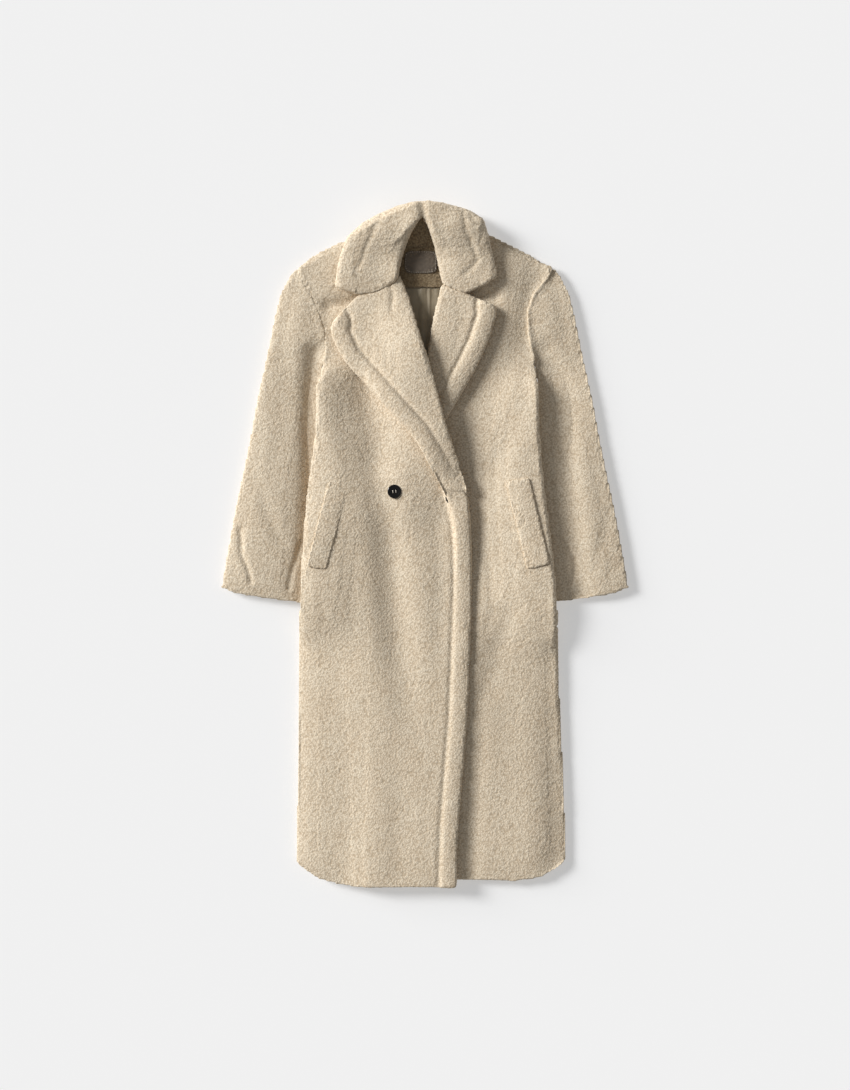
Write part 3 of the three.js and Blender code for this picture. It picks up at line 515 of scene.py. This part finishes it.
def even_mesh(node, cell):
    """The node's cloth as one closed mesh of even faces, its flat facets eased into curves."""
    solid = bmesh.new()
    solid.from_mesh(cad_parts[node].data)
    bmesh.ops.remove_doubles(solid, verts=solid.verts, dist=0.01 * MM)
    mesh = bpy.data.meshes.new(node)
    solid.to_mesh(mesh)
    solid.free()
    blank = bpy.data.objects.new(node + "_blank", mesh)
    bpy.context.scene.collection.objects.link(blank)
    remesh = blank.modifiers.new("even", "REMESH")
    remesh.mode = "VOXEL"
    remesh.voxel_size = cell
    evaluated = blank.evaluated_get(bpy.context.evaluated_depsgraph_get())
    even = bpy.data.meshes.new_from_object(evaluated)
    bpy.data.objects.remove(blank)
    spots, edges = read(even)
    for step in range(EASE_ROUNDS):
        pull = EASE_PULL if step % 2 == 0 else EASE_PUSH
        spots += pull * (neighbour_mean(spots, edges, len(spots)) - spots)
    even.vertices.foreach_set("co", spots.ravel())
    level = np.abs(normals(even)[:, 2]) > 0.9
    for _ in range(LEVEL_ROUNDS):
        mean = neighbour_mean(spots[:, 2:], edges, len(spots))[:, 0]
        spots[level, 2] = mean[level]
    even.vertices.foreach_set("co", spots.ravel())
    even.update()
    return even


def split_faces(mesh, seen):
    """Splits the faces that show into four, for the pile."""
    fine = bmesh.new()
    fine.from_mesh(mesh)
    fine.normal_update()
    shown = {
        "top": lambda face: face.normal.z > -0.3,
        "underside": lambda face: face.normal.z < 0.3,
        "all": lambda face: True,
    }[seen]
    edges = {edge for face in fine.faces if shown(face) for edge in face.edges}
    bmesh.ops.subdivide_edges(fine, edges=list(edges), cuts=1, use_grid_fill=True)
    fine.to_mesh(mesh)
    fine.free()


def stitched_border(points, edge, depth, crown=BORDER_CROWN):
    """A full border along the edge, and a trough where it is stitched down."""
    across = distance_to(points, edge) / (BORDER_WIDTH * MM)
    crown = crown * np.sin(np.pi * np.clip(across, 0, 1)) ** 0.8
    stitch = depth * np.exp(-(((across - 1) * BORDER_WIDTH / STITCH_WIDTH) ** 2))
    return (crown - stitch) * MM


def trough_depths(points, troughs):
    depths = np.zeros(len(points))
    for line, width, depth in troughs:
        distance, share = nearest_on(points, line)
        depths -= share * depth * MM * hump(distance, width)
    return depths


def rounded_side(points, side):
    edge = distance_to(points, SIDE_EDGES[side])
    return -SIDE_ROUNDING[side] * MM * hump(edge, SIDE_WIDTH)


def front_right_shape(points, up):
    y = points[:, 1] / MM
    edge = distance_to(points, FRONT_EDGE_RIGHT + ROLL_RIGHT[1:]) / MM
    swell = smoothstep(BREAK["swell_from"], BREAK["swell_full"], y) * smoothstep(
        BREAK["swell_end"], BREAK["swell_hold"], y)
    width = BORDER_WIDTH + BREAK["widen"] * smoothstep(BREAK["widen_from"], BREAK["widen_full"], y)
    swell *= smoothstep(0, 1, (width + 3 - edge) / 10)
    return up * (
        stitched_border(points, FRONT_EDGE_RIGHT, 1.7) * smoothstep(96, 40, y)
        + BREAK["swell"] * MM * swell + rounded_side(points, 0)
    )


def front_left_shape(points, up):
    return up * rounded_side(points, 1)


def lapel_right_shape(points, up):
    y = points[:, 1] / MM
    thin = BREAK["thin"] * smoothstep(BREAK["thin_to"], BREAK["thin_from"], y)
    sink = BREAK["sink"] * smoothstep(BREAK["sink_from"], BREAK["sink_full"], y)
    stitched = smoothstep(130, 240, y)
    border = stitched_border(
        points, LAPEL_EDGE_RIGHT, 2.8 * stitched, BORDER_CROWN + 0.6 * (1 - stitched))
    roll = hump(distance_to(points, ROLL_RIGHT), BREAK["roll_width"])
    border += BREAK["roll_rise"] * MM * roll * (1 - stitched)
    return up * (border - thin * MM) - sink * MM


def lapel_left_shape(points, up):
    return up * stitched_border(points, LAPEL_EDGE_LEFT, 2.8)


def welt_shape(node):
    """A welt sunk into the pile round it, most along its inner side, where it is sewn down."""
    line = WELT_INNER_LINES[node]

    def shape(points, up):
        seam = np.exp(-distance_to(points, line) / (WELT_SEAM_WIDTH * MM))
        return (-WELT_SINK - WELT_SEAM_SINK * seam) * MM

    return shape


def pile_cloth(node, cell, seen, seed, troughs=(), shape=None):
    """Cloth of one node with its creases, stitching and curled pile."""
    mesh = even_mesh(node, cell)
    split_faces(mesh, seen)
    spots, _ = read(mesh)
    facing = normals(mesh)
    up = smoothstep(0.2, 0.9, facing[:, 2])
    down = smoothstep(0.2, 0.9, -facing[:, 2])
    face_up = seen != "underside"
    follow = up + UNDERSIDE_SHARE * (1 - up) if face_up else -down
    spots[:, 2] += trough_depths(spots, troughs) * follow
    if shape is not None:
        spots[:, 2] += shape(spots, up)
    rim = smoothstep(0.9, 0.5, np.abs(facing[:, 2]))
    fullness = EDGE_FULLNESS[seen] * rim
    for side in ARMHOLES:
        seam = hump(distance_to(spots, side), ARMHOLE_WIDTH)
        spots[:, 2] += ARMHOLE_FULLNESS * MM * seam * smoothstep(0, 0.5, facing[:, 2])
        fullness += ARMHOLE_SPREAD * rim * seam
    spots += facing * (fullness * MM)[:, None]
    mesh.vertices.foreach_set("co", spots.ravel())
    facing = normals(mesh)
    height = curls(spots, seed)
    nap = 1 + 0.2 * np.clip(ripple(spots, 2 * NAP_PATCH, seed + 9), -1.5, 1.5)
    spots += facing * ((height - CURL_SEAT) * CURL_DEPTH * nap)[:, None]
    spots[:, 2] = np.maximum(spots[:, 2], LOWEST)
    mesh.vertices.foreach_set("co", spots.ravel())
    curl = mesh.attributes.new("curl", "FLOAT", "POINT")
    curl.data.foreach_set("value", height)
    smooth(mesh)
    mesh.update()
    return mesh


def woven_cloth(node, cuts, shape):
    """A thin woven piece: the node's own form with each edge cut into parts, then shaped."""
    cloth = bmesh.new()
    cloth.from_mesh(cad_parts[node].data)
    bmesh.ops.remove_doubles(cloth, verts=cloth.verts, dist=0.001 * MM)
    bmesh.ops.subdivide_edges(cloth, edges=cloth.edges[:], cuts=cuts, use_grid_fill=True)
    mesh = bpy.data.meshes.new(node)
    cloth.to_mesh(mesh)
    cloth.free()
    spots, _ = read(mesh)
    spots = shape(spots, smoothstep(0, 0.5, normals(mesh)[:, 2]))
    mesh.vertices.foreach_set("co", spots.ravel())
    return smooth(mesh, sharp_from=50)


def lining_shape(points, up):
    """Pressed pleat folds and slack ripples that run up and down the lining."""
    x = points[:, 0] / MM
    folds = np.interp(x, *zip(*LINING_FOLDS))
    slack = 0.35 * ripple(points * (1, 0.12, 1), 15 * MM, 7)
    lifted = points.copy()
    lifted[:, 2] += np.maximum(folds + slack, 0) * MM * up
    return lifted


def label_shape(points, up):
    """Rounded corners, and a face that puckers where it is sewn down."""
    centre = np.array(LABEL_SIZE["centre"]) * MM
    half = np.array(LABEL_SIZE["half"]) * MM
    power = LABEL_SIZE["corner"]
    across = (points[:, :2] - centre) / half
    reach = np.abs(across).max(1)
    round_reach = (np.abs(across) ** power).sum(1) ** (1 / power)
    scale = reach / np.maximum(round_reach, 1e-6)
    shaped = points.copy()
    shaped[:, :2] = centre + across * scale[:, None] * half
    dome = 1.2 * (1 - np.clip(reach, 0, 1) ** 2)
    pucker = 0.25 * ripple(points, 7 * MM, 17) * np.clip(reach, 0, 1)
    shaped[:, 2] += (dome + pucker) * MM * up
    return shaped


# Buttons and thread

def spun(profile, sides):
    """A closed solid turned from a profile of radius and height that starts and ends on the axis."""
    solid = bmesh.new()
    rings = []
    for radius, height in profile:
        turns = [2 * math.pi * k / sides for k in range(sides)] if radius else [0]
        rings.append([
            solid.verts.new(Vector((radius * math.cos(a), radius * math.sin(a), height)) * MM)
            for a in turns
        ])
    for low, high in zip(rings[:-1], rings[1:]):
        for k in range(sides):
            corners = [low[k % len(low)], low[(k + 1) % sides % len(low)],
                       high[(k + 1) % sides % len(high)], high[k % len(high)]]
            solid.faces.new(list(dict.fromkeys(corners)))
    bmesh.ops.recalc_face_normals(solid, faces=solid.faces)
    return solid


def cord(solid, path, radius, sides=8):
    """Adds a closed cord along a path of points to a mesh."""
    rings = []
    for k, spot in enumerate(path):
        ahead = path[min(k + 1, len(path) - 1)]
        behind = path[max(k - 1, 0)]
        turn = (ahead - behind).to_track_quat("Z", "Y")
        rings.append([
            solid.verts.new(spot + turn @ Vector((math.cos(a), math.sin(a), 0)) * radius)
            for a in (2 * math.pi * j / sides for j in range(sides))
        ])
    for low, high in zip(rings[:-1], rings[1:]):
        for j in range(sides):
            solid.faces.new([low[j], low[(j + 1) % sides], high[(j + 1) % sides], high[j]])
    solid.faces.new(rings[0][::-1])
    solid.faces.new(rings[-1])


def button_mesh():
    """A rimmed, dished button with four thread holes, its base at the origin."""
    solid = spun(BUTTON_PROFILE, 72)
    disc = bpy.data.meshes.new("button_disc")
    solid.to_mesh(disc)
    solid.free()
    drills = bmesh.new()
    for sx, sy in HOLE_CORNERS:
        bmesh.ops.create_cone(
            drills, cap_ends=True, segments=24, radius1=BUTTON["hole"] * MM,
            radius2=BUTTON["hole"] * MM, depth=20 * MM,
            matrix=Matrix.Translation(Vector((sx, sy, 0)) * BUTTON["hole_offset"] * MM))
    cutter_mesh = bpy.data.meshes.new("drills")
    drills.to_mesh(cutter_mesh)
    drills.free()
    blank = bpy.data.objects.new("button_blank", disc)
    cutter = bpy.data.objects.new("button_drills", cutter_mesh)
    for item in (blank, cutter):
        bpy.context.scene.collection.objects.link(item)
    cut = blank.modifiers.new("holes", "BOOLEAN")
    cut.operation = "DIFFERENCE"
    cut.object = cutter
    evaluated = blank.evaluated_get(bpy.context.evaluated_depsgraph_get())
    mesh = bpy.data.meshes.new_from_object(evaluated)
    for item in (blank, cutter):
        bpy.data.objects.remove(item)
    return smooth(mesh, sharp_from=35)


def thread_mesh():
    """Two bars of doubled thread through the holes of a button, its base at the origin."""
    thread = bmesh.new()
    offset = BUTTON["hole_offset"]
    for sx in (-1, 1):
        for strand in (-0.34, 0, 0.34):
            path = []
            for k in range(13):
                share = k / 12
                rise = BUTTON["floor"] + 0.55 * math.sin(math.pi * share) ** 0.5
                if k in (0, 12):
                    rise = 0.6
                path.append(Vector((
                    sx * offset + strand, (2 * share - 1) * offset, rise)) * MM)
            cord(thread, path, 0.24 * MM)
    mesh = bpy.data.meshes.new("button_thread")
    thread.to_mesh(mesh)
    thread.free()
    return smooth(mesh)


def label_stitches(label):
    """Short stitches that hold the label along its edge."""
    surface = surface_of(label)
    centre = Vector(LABEL_SIZE["centre"])
    half = [size - 2.2 for size in LABEL_SIZE["half"]]
    power = LABEL_SIZE["corner"]
    outline = []
    for k in range(720):
        turn = 2 * math.pi * k / 720
        run = Vector((math.cos(turn), math.sin(turn)))
        reach = (abs(run.x / half[0]) ** power + abs(run.y / half[1]) ** power) ** (-1 / power)
        outline.append(centre + run * reach)
    thread = bmesh.new()
    travelled, stitch = 0.0, []
    for here, ahead in zip(outline, outline[1:] + outline[:1]):
        travelled += (ahead - here).length
        if travelled % 4.2 < 2.8:
            stitch.append(here)
        elif stitch:
            path = []
            for k, spot in enumerate(stitch):
                height = height_at(surface, *spot * MM)
                arch = math.sin(math.pi * k / max(len(stitch) - 1, 1))
                path.append(Vector((*spot * MM, height + (0.3 * arch - 0.15) * MM)))
            if len(path) > 2:
                cord(thread, path, 0.28 * MM, sides=6)
            stitch = []
    mesh = bpy.data.meshes.new("label_stitches")
    thread.to_mesh(mesh)
    thread.free()
    return smooth(mesh)


def cloth_height(cloth, x, y, radius):
    """Mean height of the cloth round a spot."""
    surface = surface_of(cloth)
    turns = [2 * math.pi * k / 12 for k in range(12)]
    return sum(
        height_at(surface, x + radius * math.cos(a), y + radius * math.sin(a)) for a in turns
    ) / len(turns)


def join(meshes, name):
    whole = bmesh.new()
    for mesh in meshes:
        whole.from_mesh(mesh)
    joined = bpy.data.meshes.new(name)
    whole.to_mesh(joined)
    whole.free()
    return joined


def place(name, mesh, nodes, material):
    piece = bpy.data.objects.new(name, mesh)
    bpy.context.scene.collection.objects.link(piece)
    mesh.materials.clear()
    mesh.materials.append(material)
    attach(piece, "root")
    if nodes:
        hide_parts(*nodes)
    return piece


# Each cut piece of pile cloth: its node, mesh step, the side that shows, seed, creases, shape, and
# its flat width, length (mm) and area (square metres), how it lies and what it lies on
PILE_PIECES = [
    ("back", 5.4, "underside", 11, BACK_TROUGHS, None,
     484, 1166, 0.504, "laid", ["sleeve_right_upper", "sleeve_left_upper"]),
    ("front_left", 4.4, "top", 22, FRONT_LEFT_TROUGHS, front_left_shape,
     332, 1173, 0.312, "laid", ["back"]),
    ("front_right", 4.4, "top", 33, FRONT_RIGHT_TROUGHS, front_right_shape,
     316, 1186, 0.302, "laid", ["back", "front_left"]),
    ("lapel_left", 4.2, "top", 44, LAPEL_LEFT_TROUGHS, lapel_left_shape,
     202, 392, 0.029, "folded", ["front_left"]),
    ("lapel_right", 4.2, "top", 55, LAPEL_RIGHT_TROUGHS, lapel_right_shape,
     250, 414, 0.040, "folded", ["front_right"]),
    ("upper_collar", 4.2, "all", 66, COLLAR_TROUGHS, None,
     292, 172, 0.034, "folded", ["front_right", "front_left", "back"]),
    ("collar_stand", 3.2, "top", 77, (), None,
     72, 66, 0.0031, "laid", ["back_neck_facing"]),
    ("back_neck_facing", 3.2, "top", 88, (), None,
     88, 73, 0.0061, "laid", ["back"]),
    ("pocket_welt_right", 3.2, "top", 99, (), welt_shape("pocket_welt_right"),
     75, 158, 0.0056, "laid", ["front_right"]),
    ("pocket_welt_left", 3.2, "top", 110, (), welt_shape("pocket_welt_left"),
     80, 163, 0.0067, "laid", ["front_left"]),
]
# The collar stand and the neck facing take the darker pile, painted shade deep in the neck opening
NECK_SHADE_NODES = {"collar_stand", "back_neck_facing"}
for node, cell, seen, seed, troughs, shape, width, length, area, held, rests_on in PILE_PIECES:
    mesh = pile_cloth(node, cell * MM, seen, seed, troughs, shape)
    material = TEDDY_PAINTED_SHADE if node in NECK_SHADE_NODES else TEDDY
    piece = place("teddy_" + node, mesh, [node], material)

# Sleeves are tubes, so their flat width goes all round
for side, seed, troughs, width, area in (
    ("right", 120, SLEEVE_RIGHT_TROUGHS, 388, 0.153),
    ("left", 130, SLEEVE_LEFT_TROUGHS, 373, 0.144),
):
    nodes = [f"sleeve_{side}_upper", f"sleeve_{side}_under"]
    upper = pile_cloth(nodes[0], 4.4 * MM, "top", seed, troughs)
    under = pile_cloth(nodes[1], 4.4 * MM, "underside", seed + 5)
    piece = place(
        "teddy_sleeve_" + side, join([upper, under], "sleeve_" + side), nodes, TEDDY)

lining = place("satin_back_lining", woven_cloth("back_lining", 6, lining_shape),
               ["back_lining"], SATIN)

label = place("ribbon_neck_label", woven_cloth("neck_label", 6, label_shape),
              ["neck_label"], RIBBON)
stitches = place("thread_label_stitches", label_stitches(label.data), [], THREAD)

button_disc = button_mesh()
# The pale thread across the dark button is partly painted highlight: its light bars stand in for the
# button's glints
button_thread = thread_mesh()
for node in ("button", "button_fastening"):
    low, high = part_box(node)
    x, y = (low[0] + high[0]) / 2, (low[1] + high[1]) / 2
    # The button that shows lies on the pile, in the fold that the scene gives the front
    base = low[2]
    if node == "button":
        front = bpy.data.objects["teddy_front_right"].data
        base = min(base, cloth_height(front, x, y, 0.8 * BUTTON["radius"] * MM))
    seat = Matrix.Translation((x, y, base))
    seat @= Matrix.Rotation(math.radians(BUTTON["turn"]), 4, "Z")
    for name, mesh, nodes, material in (
        ("resin_" + node, button_disc, [node], RESIN),
        ("thread_" + node, button_thread, [], THREAD),
    ):
        own = mesh.copy()
        own.transform(seat)
        place(name, own, nodes, material)


# Floor, light and camera

def add_floor():
    bpy.ops.mesh.primitive_plane_add(size=14, location=(0, 0, 0))
    floor = bpy.context.object
    floor.name = "studio_floor"
    floor.data.materials.append(floor_material())
    floor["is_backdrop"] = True


def add_sun(name, comes_from, softness, strength, colour):
    lamp = bpy.data.lights.new(name, "SUN")
    lamp.angle = math.radians(softness)
    lamp.energy = strength
    lamp.color = linear(colour)[:3]
    light = bpy.data.objects.new(name, lamp)
    light.rotation_euler = (-Vector(comes_from)).to_track_quat("-Z", "Y").to_euler()
    bpy.context.scene.collection.objects.link(light)


def add_camera():
    data = bpy.data.cameras.new("overhead")
    data.sensor_width = FULL_FRAME
    data.lens = LENS
    camera = bpy.data.objects.new("overhead", data)
    camera.location = VIEW_CENTRE + Vector((0, 0, VIEW_HEIGHT * LENS / FULL_FRAME))
    data.clip_end = 100
    bpy.context.scene.collection.objects.link(camera)
    bpy.context.scene.camera = camera


def add_sky(strength):
    world = bpy.data.worlds.new("studio")
    bpy.context.scene.world = world
    world.use_nodes = True
    background = world.node_tree.nodes["Background"]
    background.inputs["Color"].default_value = linear("#ffffff")
    background.inputs["Strength"].default_value = strength


add_floor()
add_sky(0.24)
add_sun("key", (-0.91, 0.41, 0.56), 18, 2.83, "#ffffff")
add_sun("low_key", (-0.91, 0.41, 0.3), 30, 1.88, "#ffffff")
add_camera()
bpy.context.scene.view_settings.view_transform = "Standard"

low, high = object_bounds()
